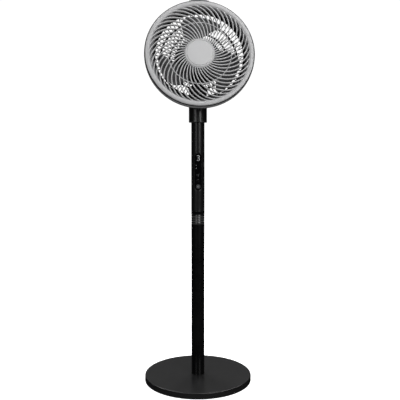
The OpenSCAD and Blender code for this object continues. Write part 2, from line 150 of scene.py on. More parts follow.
# Runs longer than the first get their extra points the second from each end, in mm.
LONG_RUN, HOLD = 2, 0.4


def lathe(outline, place, segments):
    """Turns a closed outline of (radius, height) points round the axis of `place`.

    Long straight runs get an extra point near each end, so that smooth shading leaves them flat.
    """
    held = []
    for p, q in zip(outline, np.roll(outline, -1, axis=0)):
        held.append(p)
        gap = np.linalg.norm(q - p)
        if gap > LONG_RUN:
            held += [p + (q - p) * HOLD / gap, q - (q - p) * HOLD / gap]
    outline = np.array(held)
    ang = np.arange(segments) * TAU / segments
    r, z = outline[:, 0][:, None], outline[:, 1][:, None]
    pts = place(r * np.cos(ang), r * np.sin(ang), z + 0 * ang)
    return grid(pts, wrap_u=True, wrap_v=True)


def ring_outline(r0, r1, z0, z1, radius):
    """The outline of a plain ring with rounded edges."""
    return fillet([(r0, z0, radius), (r1, z0, radius), (r1, z1, radius), (r0, z1, radius)])


def section(w, h, radius):
    """A rounded rectangle centred on (0, 0)."""
    return fillet([(-w / 2, -h / 2, radius), (w / 2, -h / 2, radius),
                   (w / 2, h / 2, radius), (-w / 2, h / 2, radius)], 22)


def join(parts):
    """Several parts as one."""
    verts, faces, base = [], [], 0
    for v, f in parts:
        verts.append(v)
        faces += [tuple(i + base for i in face) for face in f]
        base += len(v)
    return np.concatenate(verts), faces


def piece(name, parts, mat, body, stands_for, sharp=38, merge=2e-6):
    """Makes one object from closed parts, which rides on a body and hides the nodes it stands for.

    sharp is the angle in degrees from which an edge stays crisp, and merge is in metres.
    """
    if isinstance(parts, tuple):
        parts = [parts]
    verts, faces = join(parts)
    mesh = bpy.data.meshes.new(name)
    mesh.from_pydata([tuple(p) for p in verts * MM], [], faces)
    bm = bmesh.new()
    bm.from_mesh(mesh)
    bmesh.ops.remove_doubles(bm, verts=bm.verts, dist=merge)
    bmesh.ops.dissolve_degenerate(bm, edges=bm.edges, dist=1e-7)
    bmesh.ops.recalc_face_normals(bm, faces=bm.faces)
    bm.to_mesh(mesh)
    bm.free()
    mesh.shade_smooth()
    mesh.set_sharp_from_angle(angle=math.radians(sharp))
    mesh.materials.append(mat)
    obj = bpy.data.objects.new(name, mesh)
    scene.collection.objects.link(obj)
    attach(obj, body)
    if stands_for:
        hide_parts(*stands_for)


# ---- materials ----

# Texture scales per metre: the larger the number, the finer the pattern.
CLOUD_SCALE, SMEAR_SCALE, DUST_SCALE = 14.0, 38.0, 46.0
SCUFF_SCALE, PEEL_SCALE, FLAKE_SCALE = 160.0, 260.0, 2600.0
DUST_GREY = (0.34, 0.34, 0.33)


def node(tree, kind, **values):
    """A new node; each value sets its property of that name, or else its input."""
    n = tree.nodes.new(kind)
    for key, value in values.items():
        if hasattr(n, key):
            setattr(n, key, value)
        else:
            n.inputs[key.replace("_", " ")].default_value = value
    return n


def noise(tree, coord, scale, detail, rough, stretch=(1, 1, 1)):
    """A noise texture in metres, which may be squeezed along an axis."""
    m = node(tree, "ShaderNodeMapping")
    m.inputs["Scale"].default_value = stretch
    tree.links.new(coord, m.inputs["Vector"])
    n = node(tree, "ShaderNodeTexNoise", Scale=scale, Detail=detail, Roughness=rough)
    tree.links.new(m.outputs["Vector"], n.inputs["Vector"])
    return n.outputs["Fac"]


def spread(tree, value, low, high, lo=0.3, hi=0.7):
    """Maps lo to hi onto low to high; most noise lies between 0.3 and 0.7."""
    m = node(tree, "ShaderNodeMapRange")
    for key, v in (("From Min", lo), ("From Max", hi), ("To Min", low), ("To Max", high)):
        m.inputs[key].default_value = v
    tree.links.new(value, m.inputs["Value"])
    return m.outputs["Result"]


def times(tree, a, b):
    """Two values or sockets multiplied."""
    m = node(tree, "ShaderNodeMath", operation="MULTIPLY")
    for i, v in enumerate((a, b)):
        if isinstance(v, (int, float)):
            m.inputs[i].default_value = v
        else:
            tree.links.new(v, m.inputs[i])
    return m.outputs["Value"]


def mix(tree, fac, a, b):
    """Colour a, turning into colour b as fac rises."""
    m = node(tree, "ShaderNodeMix", data_type="RGBA")
    tree.links.new(fac, m.inputs[0])
    for i, v in ((6, a), (7, b)):
        if isinstance(v, (tuple, list)):
            m.inputs[i].default_value = (*v, 1)
        else:
            tree.links.new(v, m.inputs[i])
    return m.outputs[2]


def shade(colour, k):
    """A colour made lighter or darker."""
    return tuple(min(1.0, c * k) for c in colour)


def finish(name, colour, rough, vary=0.12, grain=1500.0, height=0.015, detail=2.0,
           rough_vary=0.05, metallic=0.0, specular=0.5, stretch=(1, 1, 1), flakes=0.0, dust=0.0,
           wear=0.0, glow=0.0, peel=0.0, fade=None):
    """One procedural finish: clouded colour, smeared roughness and a fine grain `height` mm deep.

    dust settles on upward faces, wear lifts the edges and peel is a slower bump in mm.
    fade (near, far, colour) turns the colour into another one along the fan's axis; on the duct and
    the trim this is painted shade.
    """
    mat = bpy.data.materials.new(name)
    mat.use_nodes = True
    tree = mat.node_tree
    bsdf = tree.nodes["Principled BSDF"]
    coord = node(tree, "ShaderNodeTexCoord").outputs["Object"]
    geo = node(tree, "ShaderNodeNewGeometry")
    tone = mix(tree, spread(tree, noise(tree, coord, CLOUD_SCALE, 4.0, 0.55), 0, 1),
               shade(colour, 1 - vary), shade(colour, 1 + vary))
    fine = noise(tree, coord, grain, detail, 0.6, stretch)
    tone = mix(tree, spread(tree, fine, 0, 0.5), tone, shade(colour, 1 + 1.6 * vary))
    surface = fine
    if flakes:
        cells = node(tree, "ShaderNodeTexVoronoi", Scale=FLAKE_SCALE)
        tree.links.new(coord, cells.inputs["Vector"])
        sep = node(tree, "ShaderNodeSeparateColor")
        tree.links.new(cells.outputs["Color"], sep.inputs[0])
        tone = mix(tree, times(tree, sep.outputs[0], flakes), tone, shade(colour, 1.35))
        surface = sep.outputs[1]
    if fade:
        near, far, inner = fade
        along = node(tree, "ShaderNodeVectorMath", operation="DOT_PRODUCT")
        tree.links.new(coord, along.inputs[0])
        along.inputs[1].default_value = (0, math.cos(TILT), -math.sin(TILT))
        start = (-HEAD_FWD * math.cos(TILT) - HEAD_Z * math.sin(TILT)) * MM
        depth = spread(tree, along.outputs["Value"], 0, 1, start + near * MM, start + far * MM)
        tone = mix(tree, depth, tone, inner)
    if wear:
        edge = spread(tree, geo.outputs["Pointiness"], 0, 1, 0.53, 0.62)
        scuff = spread(tree, noise(tree, coord, SCUFF_SCALE, 5.0, 0.7), 0, 1, 0.45, 0.65)
        lift = times(tree, times(tree, edge, scuff), wear)
        tone = mix(tree, lift, tone, shade(colour, 2.4))
    if dust:
        up = node(tree, "ShaderNodeSeparateXYZ")
        tree.links.new(geo.outputs["Normal"], up.inputs[0])
        settle = spread(tree, up.outputs["Z"], 0, 1, 0.5, 1.0)
        patch = spread(tree, noise(tree, coord, DUST_SCALE, 6.0, 0.65), 0.15, 1, 0.35, 0.75)
        tone = mix(tree, times(tree, times(tree, settle, patch), dust), tone, DUST_GREY)
    tree.links.new(tone, bsdf.inputs["Base Color"])
    smear = noise(tree, coord, SMEAR_SCALE, 5.0, 0.6)
    smear = spread(tree, smear, rough - rough_vary, rough + rough_vary)
    tree.links.new(smear, bsdf.inputs["Roughness"])
    bsdf.inputs["Metallic"].default_value = metallic
    bsdf.inputs["Specular IOR Level"].default_value = specular
    if glow:
        bsdf.inputs["Emission Color"].default_value = (1, 1, 1, 1)
        bsdf.inputs["Emission Strength"].default_value = glow
    bump = node(tree, "ShaderNodeBump", Strength=1.0, Distance=height * MM)
    tree.links.new(surface, bump.inputs["Height"])
    last = bump
    if peel:
        last = node(tree, "ShaderNodeBump", Strength=1.0, Distance=peel * MM)
        tree.links.new(noise(tree, coord, PEEL_SCALE, 1.0, 0.4), last.inputs["Height"])
        tree.links.new(bump.outputs["Normal"], last.inputs["Normal"])
    tree.links.new(last.outputs["Normal"], bsdf.inputs["Normal"])
    return mat


FINISHES = {
    "base_satin": dict(colour=(0.006, 0.006, 0.0065), rough=0.3, vary=0.06, grain=900.0,
                       height=0.004, rough_vary=0.02, dust=0.012, wear=0.3, peel=0.003),
    "base_steel": dict(colour=(0.03, 0.03, 0.03), rough=0.5, height=0.02, grain=700.0),
    "ballast_iron": dict(colour=(0.09, 0.088, 0.085), rough=0.75, grain=420.0, height=0.25,
                         detail=6.0, metallic=0.6),
    "foot_rubber": dict(colour=(0.02, 0.02, 0.02), rough=0.8, grain=1200.0, height=0.03),
    "screw_steel": dict(colour=(0.55, 0.55, 0.56), rough=0.3, metallic=1.0, stretch=(1, 1, 8),
                        height=0.004),
    "gland_rubber": dict(colour=(0.015, 0.015, 0.015), rough=0.75, height=0.03),
    "plug_steel": dict(colour=(0.42, 0.42, 0.43), rough=0.35, metallic=1.0, stretch=(1, 1, 12)),
    "pole_gloss": dict(colour=(0.0025, 0.0025, 0.0028), rough=0.28, vary=0.1, grain=700.0,
                       height=0.003, rough_vary=0.03, specular=0.35, peel=0.003, wear=0.2),
    "sleeve_black": dict(colour=(0.004, 0.004, 0.0045), rough=0.09, vary=0.1, height=0.0005,
                         rough_vary=0.01, specular=0.8),
    "core_alloy": dict(colour=(0.5, 0.5, 0.52), rough=0.35, metallic=1.0, stretch=(1, 1, 12)),
    "tube_satin": dict(colour=(0.0065, 0.0065, 0.007), rough=0.34, vary=0.1, grain=1700.0,
                       height=0.006, rough_vary=0.03, specular=0.4, wear=0.2),
    "window_gloss": dict(colour=(0.003, 0.003, 0.0035), rough=0.07, vary=0.1, grain=300.0,
                         height=0.0003, rough_vary=0.03),
    "button_grey": dict(colour=(0.045, 0.045, 0.048), rough=0.42, height=0.006),
    "board_green": dict(colour=(0.02, 0.1, 0.045), rough=0.35, vary=0.3, grain=260.0, height=0.02),
    "digit_white": dict(colour=(0.3, 0.31, 0.32), rough=0.3, height=0.002, glow=0.19),
    "lamp_grey": dict(colour=(0.12, 0.125, 0.13), rough=0.25, height=0.002),
    "switch_grey": dict(colour=(0.2, 0.2, 0.2), rough=0.45),
    "bracket_black": dict(colour=(0.03, 0.03, 0.032), rough=0.5),
    "drive_steel": dict(colour=(0.45, 0.45, 0.46), rough=0.38, metallic=1.0, stretch=(1, 1, 10)),
    "bearing_steel": dict(colour=(0.7, 0.7, 0.72), rough=0.16, metallic=1.0, height=0.002),
    "shaft_steel": dict(colour=(0.6, 0.6, 0.62), rough=0.22, metallic=1.0, stretch=(1, 1, 10),
                        height=0.003),
    "collar_satin": dict(colour=(0.008, 0.008, 0.0085), rough=0.33, vary=0.1, grain=1700.0,
                         height=0.006, rough_vary=0.03, specular=0.75, wear=0.25),
    "neck_black": dict(colour=(0.006, 0.006, 0.0065), rough=0.42, specular=0.35, grain=1700.0,
                       height=0.008),
    "disc_fibre": dict(colour=(0.2, 0.14, 0.08), rough=0.8, vary=0.25, grain=900.0, height=0.08),
    "pod_black": dict(colour=(0.005, 0.005, 0.0055), rough=0.45, specular=0.3, grain=1500.0,
                      height=0.01),
    "rear_black": dict(colour=(0.2, 0.2, 0.205), rough=0.42, specular=0.25, grain=1500.0,
                       height=0.008, fade=(14.6, 15.0, (0.004, 0.004, 0.0043))),
    # painted shade: the trim is near-black up to 6 mm deep beside the front ring, for the shadowed
    # gap between ring and trim, and grey behind that
    "trim_grey": dict(colour=(0.012, 0.012, 0.0125), rough=0.5, specular=0.2, grain=1500.0,
                      height=0.008, fade=(6.0, 6.5, (0.24, 0.24, 0.245))),
    # painted shade: the duct's silver turns near-black from 9.6 to 12.2 mm deep, standing in for
    # the shade that falls into the throat behind the ribs
    "duct_silver": dict(colour=(0.3, 0.3, 0.31), rough=0.45, vary=0.05, metallic=0.1, specular=0.3,
                        flakes=0.12, height=0.003, fade=(9.6, 12.2, (0.005, 0.005, 0.0055))),
    "grille_silver": dict(colour=(0.44, 0.44, 0.445), rough=0.45, vary=0.03, metallic=0.15,
                          flakes=0.12, height=0.003, wear=0.1),
    "cap_silver": dict(colour=(0.50, 0.50, 0.505), rough=0.45, vary=0.03, metallic=0.15,
                       flakes=0.12, height=0.003, wear=0.1),
    "latch_silver": dict(colour=(0.52, 0.52, 0.53), rough=0.4, vary=0.04, metallic=0.25,
                         flakes=0.14, height=0.003),
    "can_alloy": dict(colour=(0.4, 0.4, 0.41), rough=0.55, metallic=0.9, grain=500.0, height=0.06,
                      detail=5.0),
    "stator_iron": dict(colour=(0.35, 0.2, 0.1), rough=0.4, metallic=0.9, vary=0.2,
                        stretch=(1, 14, 1), height=0.05),
    "rotor_iron": dict(colour=(0.2, 0.2, 0.22), rough=0.4, metallic=0.9, stretch=(1, 14, 1),
                       height=0.03),
    "blade_grey": dict(colour=(0.042, 0.042, 0.045), rough=0.33, vary=0.08, grain=1200.0,
                       height=0.005, rough_vary=0.03),
    "nut_black": dict(colour=(0.03, 0.03, 0.032), rough=0.45),
    "print_grey": dict(colour=(0.085, 0.085, 0.09), rough=0.5, height=0.002),
    "mark_grey": dict(colour=(0.3, 0.3, 0.31), rough=0.5, height=0.002),
}
MATS = {name: finish(name, **look) for name, look in FINISHES.items()}

node_slot = {p["node"]: p["material_slot"] for p in frame["record"]["subparts"]}
for name, obj in frame["nodes"].items():
    obj.data.materials.clear()
    obj.data.materials.append(MATS[node_slot[name]])
    obj.data.shade_smooth()
    obj.data.set_sharp_from_angle(angle=math.radians(30))

# ---- base: outlines are (radius, height, corner radius) ----

POLE_FOOT_Z = 7.6           # the pole and the base's collar for it start here
PLATE_TOP = BASE_TOP - 2.6  # underside of the cover
SKIRT_R = BASE_R - 2.8      # inside of the cover's side wall
FEET, FEET_R, FOOT_H = 5, 138, 1.8

shell = fillet([
    (26, POLE_FOOT_Z, 0.5), (26, PLATE_TOP, 0.3), (SKIRT_R, PLATE_TOP, 0.4), (SKIRT_R, 0.2, 0.3),
    (BASE_R - 0.6, 0.2, 0.3), (BASE_R, 0.9, 0.4), (BASE_R, BASE_TOP, 2.0),
    (POLE_R + 0.1, BASE_TOP, 0.35), (POLE_R + 0.1, POLE_FOOT_Z, 0.3)], 9)
piece("base_cover", lathe(shell, upright, 256), MATS["base_satin"], "base", ["base_shell"])


def foot(angle):
    outline = fillet([(0, 0.35, 0), (3.4, 0.35, 0.3), (4.0, 0, 0.3), (7.6, 0, 0.5), (8, 0.9, 0.4),
                      (7.7, FOOT_H, 0.3), (0, FOOT_H, 0)])
    verts, faces = lathe(outline, upright, 48)
    return verts + np.array([FEET_R * math.cos(angle), FEET_R * math.sin(angle), 0]), faces


piece("rubber_feet", [foot(math.pi / 2 + TAU * i / FEET) for i in range(FEET)],
      MATS["foot_rubber"], "base", ["base_feet"])

# ---- pole and its beaded sleeve ----

POLE_BORE, SLEEVE_BORE = 17, 15.2
BEAD_COUNT, BEAD_PITCH, BEAD_Z, BEAD_DEPTH = 4, 6.8, 454.1, 1.5
BEAD_STEPS, BEAD_FULLNESS = 14, 0.7     # a lower fullness makes rounder beads
BEADS_END = BEAD_Z + (BEAD_COUNT - 0.5) * BEAD_PITCH

pole_skin = ring_outline(POLE_BORE, POLE_R, POLE_FOOT_Z, SLEEVE_Z0 - 0.05, 0.35)
piece("pole_lower", lathe(pole_skin, upright, 128), MATS["pole_gloss"], "base", ["lower_pole"])

sleeve = [(SLEEVE_BORE, SLEEVE_Z0 + 0.05), (POLE_R - 1.4, SLEEVE_Z0 + 0.05)]
for bead in range(BEAD_COUNT):
    for step in range(BEAD_STEPS):
        along = (step + 0.5) / BEAD_STEPS
        swell = abs(math.sin(math.pi * along)) ** BEAD_FULLNESS
        sleeve.append((POLE_R - BEAD_DEPTH * (1 - swell),
                       BEAD_Z - BEAD_PITCH / 2 + BEAD_PITCH * (bead + along)))
sleeve += [(POLE_R - 0.1, BEADS_END + 0.15), (POLE_R, BEADS_END + 0.3),
           (POLE_R, SLEEVE_Z1 - 0.12), (POLE_R - 0.12, SLEEVE_Z1), (SLEEVE_BORE, SLEEVE_Z1)]
piece("sleeve_beads", lathe(np.array(sleeve), upright, 128), MATS["sleeve_black"], "base",
      ["coupling_sleeve"], sharp=50)

# ---- control tube and its window, unrolled as (s, z) millimetres with s = 0 facing forward ----

TUBE_BORE, LENS_BORE = 16.2, 16.4
LENS_HALF = PANEL_W / 2
LENS_GAP = 0.15             # the tube's opening is wider than the lens by this much each side
EASE = 0.3                  # depth of the softened edges
BUTTON_HOLE = 6.35
RAY_HEIGHT = 52.0           # shape of the fan of rays from the window to the tube's edges


def stadium(radius, count):
    """Outline of the window shape grown to `radius` round its centre line."""
    z0, z1 = BUTTON_Z, PANEL_Z1 - LENS_HALF
    straight, bend = z1 - z0, math.pi * radius
    total = 2 * (straight + bend)
    pts = []
    for k in range(count):
        t = (k + 0.5) / count * total
        if t < bend / 2:
            a = -math.pi / 2 + t / radius
            pts.append((radius * math.cos(a), z0 + radius * math.sin(a)))
        elif t < bend / 2 + straight:
            pts.append((radius, z0 + t - bend / 2))
        elif t < 1.5 * bend + straight:
            a = (t - bend / 2 - straight) / radius
            pts.append((radius * math.cos(a), z1 + radius * math.sin(a)))
        elif t < 1.5 * bend + 2 * straight:
            pts.append((-radius, z1 - (t - 1.5 * bend - straight)))
        else:
            a = math.pi + (t - 1.5 * bend - 2 * straight) / radius
            pts.append((radius * math.cos(a), z0 + radius * math.sin(a)))
    return np.array(pts)


def wrapped(flat, radius):
    """Unrolled (s, z) points laid round the pole's axis, at one radius or at one for each point."""
    ang = flat[..., 0] / POLE_R
    return upright(radius * np.sin(ang), -radius * np.cos(ang), flat[..., 1])


def tube_part():
    """The tube as rings of points that grow from the window's edge to the tube's own edges."""
    count, bands = 400, 40
    half = math.pi * POLE_R
    mid_z = (BUTTON_Z + PANEL_Z1 - LENS_HALF) / 2
    inner = stadium(LENS_HALF + LENS_GAP, count)
    outer = []
    for s, z in inner:
        # The ray from the window's centre to the edge of the unrolled tube.
        ray = np.array([s / LENS_HALF, (z - mid_z) / RAY_HEIGHT])
        ray /= max(abs(ray))
        reach = TUBE_Z1 - mid_z if ray[1] > 0 else mid_z - TUBE_Z0
        outer.append((ray[0] * half, ray[1] * reach + mid_z))
    outer = np.array(outer)
    edge = outer.copy()
    edge[:, 1] = np.clip(edge[:, 1], TUBE_Z0 + EASE, TUBE_Z1 - EASE)

    rings = [wrapped(inner, TUBE_BORE), wrapped(inner, POLE_R - EASE)]
    for grow, drop in ((0.08, 0.09), (0.25, 0.0)):
        rings.append(wrapped(stadium(LENS_HALF + LENS_GAP + grow, count), POLE_R - drop))
    lip = stadium(LENS_HALF + 0.4, count)
    for t in np.linspace(0, 1, bands)[1:]:
        rings.append(wrapped(lip * (1 - t) + edge * t, POLE_R))
    on_rim = np.abs(np.abs(outer[:, 0]) - half) > 1e-6
    rim = np.where(on_rim[:, None], outer, edge)
    for rim_r in (POLE_R - EASE, TUBE_BORE):
        rings.append(wrapped(rim, np.where(on_rim, rim_r, POLE_R)))
    back = [wrapped(inner * (1 - t) + outer * t, TUBE_BORE) for t in np.linspace(0, 1, bands)]
    return join([grid(np.array(rings), wrap_v=True), grid(np.array(back), wrap_v=True)])


def window_part():
    """The lens with its round hole for the button."""
    count = 320
    centre = np.array([0, BUTTON_Z])
    outer = stadium(LENS_HALF, count)
    ray = outer - centre
    ray /= np.linalg.norm(ray, axis=1)[:, None]
    inner = ray * BUTTON_HOLE + centre
    face_out = stadium(LENS_HALF - EASE, count)
    face_in = ray * (BUTTON_HOLE + 0.25) + centre
    rings = [wrapped(inner, LENS_BORE), wrapped(inner, POLE_R - 0.25)]
    rings += [wrapped(face_in * (1 - t) + face_out * t, POLE_R) for t in np.linspace(0, 1, 46)]
    rings += [wrapped(outer, POLE_R - EASE), wrapped(outer, LENS_BORE)]
    rings += [wrapped(outer * (1 - t) + inner * t, LENS_BORE) for t in np.linspace(0, 1, 30)[1:-1]]
    return grid(np.array(rings), wrap_u=True, wrap_v=True)


piece("control_tube_body", tube_part(), MATS["tube_satin"], "base", ["control_tube"],
      merge=1e-5)
piece("window_lens", window_part(), MATS["window_gloss"], "base", ["panel_window"])

# ---- marks on the window and the button ----

DIGIT_AT, SPEED_AT, SWEEP_AT = (-0.2, 637.6), (-0.8, 590), (-0.8, 576)
LAMP_S, LAMPS_Z = -5.9, (616.6, 608.2)
PRINT_LIFT, PRINT_SINK = 0.03, 0.1
BUTTON_LIFT, BUTTON_BACK = 0.4, 14.4


def stroke(points, width, radius, lift, centre):
    """A line of (s, z) points laid on the curved face, as a thin strip with round ends."""
    p = np.array(points, float) + np.array(centre)
    tangent = np.gradient(p, axis=0)
    tangent /= np.linalg.norm(tangent, axis=1)[:, None]
    normal = np.stack([-tangent[:, 1], tangent[:, 0]], -1)
    half = width / 2
    ends = [(max(math.sin(a), 0.05), math.cos(a))
            for a in np.linspace(0, math.pi / 2, 5, endpoint=False)]
    rows = [(p[0] - tangent[0] * half * out, normal[0], wide) for wide, out in ends]
    rows += [(point, side, 1.0) for point, side in zip(p, normal)]
    rows += [(p[-1] + tangent[-1] * half * out, normal[-1], wide) for wide, out in reversed(ends)]
    low, high = radius - PRINT_SINK, radius + lift
    rings = []
    for q, side, wide in rows:
        a, b = q - side * half * wide, q + side * half * wide
        rings.append(wrapped(np.array([a, b, b, a]), np.array([low, low, high, high])))
    return loft(np.array(rings))


def arc(cx, cz, r, a0, a1, n=24):
    """Points along an arc, from angle a0 to a1 in degrees."""
    ang = np.radians(np.linspace(a0, a1, n))
    return np.stack([cx + r * np.cos(ang), cz + r * np.sin(ang)], -1)


def lamp(z0):
    dome = fillet([(0, -0.3, 0), (1.5, -0.3, 0.1), (1.5, 0.02, 0.1), (0, 0.1, 0)])
    return lathe(dome, lambda a, b, lift: wrapped(np.stack([a + LAMP_S, b + z0], -1),
                                                  POLE_R + lift), 24)


def button_part():
    """Round button whose face follows the tube's curve, with a soft edge."""
    ang = np.arange(96) * TAU / 96
    rings = []
    for r, lift in ((0.01, BUTTON_LIFT), (1.5, BUTTON_LIFT), (3.0, BUTTON_LIFT), (4.4, BUTTON_LIFT),
                    (5.3, 0.38), (5.75, 0.25), (5.95, 0.02), (6.0, -0.3)):
        x, z = r * np.cos(ang), BUTTON_Z + r * np.sin(ang)
        rings.append(upright(x, -np.sqrt((POLE_R + lift) ** 2 - x ** 2), z))
    for r in (6.0, 3.0, 0.01):
        rings.append(upright(r * np.cos(ang), -BUTTON_BACK, BUTTON_Z + r * np.sin(ang)))
    return loft(np.array(rings))


digit = [(arc(0, 3.9, 3.2, 150, -80), 1.2), (arc(0, -3.65, 3.5, 82, -152), 1.2),
         ([(-1.0, 0.3), (0.2, 0.3), (0.8, 0.25)], 1.1)]
piece("digit_three", [stroke(line, width, POLE_R, 0.07, DIGIT_AT) for line, width in digit],
      MATS["digit_white"], "base", ())
piece("lamp_lenses", [lamp(z0) for z0 in LAMPS_Z], MATS["lamp_grey"], "base", ())

speed_mark = [stroke(arc(0, 0, 2.9, 20 + 120 * k, 95 + 120 * k, 12), 0.8, POLE_R, PRINT_LIFT,
                     SPEED_AT) for k in range(3)]
sweep_mark = [stroke(arc(0, -1.0, 2.8, 25, 155, 14), 0.8, POLE_R, PRINT_LIFT, SWEEP_AT),
              stroke([(-3.4, -2.6), (0, -2.6), (3.4, -2.6)], 0.7, POLE_R, PRINT_LIFT, SWEEP_AT)]
piece("touch_marks", speed_mark + sweep_mark, MATS["print_grey"], "base", ())

piece("button_cap", button_part(), MATS["button_grey"], "button", ["power_button"])
power_mark = [arc(0, 0, 2.3, 120, 420, 30), [(0, 0.6), (0, 1.8), (0, 3.0)]]
piece("button_mark", [stroke(line, 0.6, POLE_R + BUTTON_LIFT, 0.02, (0, BUTTON_Z))
                      for line in power_mark],
      MATS["mark_grey"], "button", ())

# ---- collar ----

COLLAR_BORE, COLLAR_TOP_BORE, COLLAR_STEP_Z = POLE_R + 0.45, 23, 744.6

collar = fillet([
    (COLLAR_BORE, COLLAR_Z0, 0.3), (COLLAR_R, COLLAR_Z0, 0.9), (COLLAR_R, COLLAR_Z1, 1.1),
    (COLLAR_TOP_BORE, COLLAR_Z1, 0.2), (COLLAR_TOP_BORE, COLLAR_STEP_Z, 0),
    (COLLAR_BORE, COLLAR_STEP_Z, 0.2)])
piece("swivel_collar", lathe(collar, upright, 160), MATS["collar_satin"], "swivel", ["collar"])

# ---- head, front: outlines are (radius, depth, corner radius) ----

RIB_COUNT, RIB_ARC_R, RIB_ARC_X, RIB_ARC_H = 43, 72.5, 16.94, 69.3
RIB_START, RIB_END = 31.9, -74.2            # degrees along the rib's arc
RIB_IN_R, RIB_OUT_R = 40, 131               # where its front edge starts and ends its curve
RIB_HUB_D, RIB_RIM_D, RIB_BACK_D = 4.4, 1.7, 9.2
RIB_TALL = 6.2

ring_profile = fillet([
    (131, 9.4, 0.3), (131, 3.0, 0.8), (134.4, 0.0, 6), (141.3, 0.0, 5), (RING_R, 0.9, 1.6),
    (RING_R, 4.4, 0.3), (141.2, 4.4, 0.3), (141.2, 9.8, 0.3), (138.8, 9.8, 0.3), (138.8, 3.2, 0.8),
    (136, 2.8, 1.5), (132.8, 3.6, 0.8), (132.4, 9.4, 0.3)], 10)


def curved_ribs():
    """The swept ribs: circular arcs with rounded edges that dip a little toward the hub."""
    ang = np.radians(np.linspace(RIB_START, RIB_END, 56))
    x = RIB_ARC_X + RIB_ARC_R * np.cos(ang)
    h = RIB_ARC_H + RIB_ARC_R * np.sin(ang)
    t = np.clip((np.hypot(x, h) - RIB_IN_R) / (RIB_OUT_R - RIB_IN_R), 0, 1)
    front = RIB_HUB_D * (1 - t) ** 1.5 + RIB_RIM_D * t
    depth = RIB_BACK_D - front
    flat = fillet([(-1.35, 0, 0.5), (1.35, 0, 0.5), (1.1, RIB_TALL, 0.35), (-1.1, RIB_TALL, 0.35)],
                  30)
    ribs = []
    for i in range(RIB_COUNT):
        turn = -i * TAU / RIB_COUNT
        c, s = math.cos(turn), math.sin(turn)
        rings = []
        for k in range(len(ang)):
            px = x[k] + flat[:, 0] * math.cos(ang[k])
            ph = h[k] + flat[:, 0] * math.sin(ang[k])
            d = front[k] + flat[:, 1] * depth[k] / RIB_TALL
            rings.append(head(px * c - ph * s, px * s + ph * c, d))
        ribs.append(loft(np.array(rings)))
    return ribs


brace = ring_outline(83, 85, 2.9, 6.4, 0.7)
hub_seat = ring_outline(10, HUB_R - 0.6, 6.6, 10.6, 0.5)
piece("grille_front", [lathe(ring_profile, head, 320), lathe(brace, head, 256),
                       lathe(hub_seat, head, 128)] + curved_ribs(),
      MATS["grille_silver"], "head", ["front_grille"])

cap = fillet([
    (0, 1.6, 0), (33.6, 1.6, 0.3), (34.3, 3.0, 0.3), (35.5, 3.0, 0.3), (36.2, 1.75, 0.4),
    (37.6, 2.1, 1.2), (HUB_R, 4.0, 1.0), (HUB_R, 6.5, 0.3), (9.8, 6.5, 0.2), (9.8, 12, 0.5),
    (0, 12, 0)], 10)
piece("hub_disc", lathe(cap, head, 192), MATS["cap_silver"], "head", ["hub_cap"])

# ---- head: air duct, trim band and latch ----

THROAT_R, THROAT_D = 116.7, 22.0
DUCT_WALL = 2


def bell_curve(radius, grow, reach, angles):
    """The duct's mouth: a quarter of an ellipse from the flange to the throat."""
    return [(radius + grow * (1 - math.sin(a)), THROAT_D - reach * math.cos(a)) for a in angles]


def flare_curve(radius, grow, length, steps):
    """The duct's tail, which widens behind the throat."""
    return [(radius + grow * t ** 1.8, THROAT_D + length * t) for t in steps]


quarter = np.linspace(0, math.pi / 2, 22)
tail = np.linspace(0, 1, 14)[1:]
duct = np.array([(144.0, 12.6), (144.3, 12.3), (144.3, 11.2), (144.1, 11.0), (141.2, 11.0),
                 (141.2, 10.0)]
                + bell_curve(THROAT_R, 13.8, 12, quarter)
                + flare_curve(THROAT_R, 5.8, 16, tail)
                + [(123.2, 38.5), (124.1, 37.9), (124.2, 37.4)]
                + flare_curve(THROAT_R + DUCT_WALL, 5.5, 15, tail[-2::-1])
                + bell_curve(THROAT_R + DUCT_WALL, 13.6, 9.6, quarter[::-1])
                + [(132.5, 12.6)])
piece("duct_bell", lathe(duct, head, 320), MATS["duct_silver"], "head", ["air_duct"],
      sharp=45)

EAR_X, EAR_H, EAR_D = 24.6, 144.6, 8.6      # the small blocks beside the latch
LATCH_R, LATCH_HALF, LATCH_D = 147.6, 22.4, 5.75
LATCH_WIDE, LATCH_THICK = 8.5, 3.2


def block(cx, ch, cd, sx, sh, sd, radius=0.4):
    """A small rounded block in the head's axes."""
    outline = section(sx, sh, radius)
    levels = ((-sd / 2, 0.72), (-sd / 2 + radius * 0.3, 0.93), (-sd / 2 + radius, 1),
              (sd / 2 - radius, 1), (sd / 2 - radius * 0.3, 0.93), (sd / 2, 0.72))
    rings = []
    for z, k in levels:
        shrink = 1 - (1 - k) * radius * 2 / min(sx, sh)
        rings.append(head(cx + outline[:, 0] * shrink, ch + outline[:, 1] * shrink, cd + z))
    return loft(np.array(rings))


def latch_part():
    """A thin curved tab that follows the rim, with rounded ends."""
    half = math.asin(LATCH_HALF / LATCH_R)
    end = [0.93, 0.965, 0.985, 0.995, 1]
    rings = []
    for t in [-v for v in reversed(end)] + list(np.linspace(-0.88, 0.88, 30)) + end:
        a = math.pi / 2 - t * half
        k = math.sqrt(max(0.0, 1 - max(0, (abs(t) - 0.8) / 0.2) ** 4))
        thick = LATCH_THICK * (0.35 + 0.65 * min(1, k * 1.4))
        o = section(thick, LATCH_WIDE * (0.55 + 0.45 * k), 0.45 * thick)
        r = LATCH_R + o[:, 0]
        rings.append(head(r * math.cos(a), r * math.sin(a), LATCH_D + o[:, 1]))
    return loft(np.array(rings))


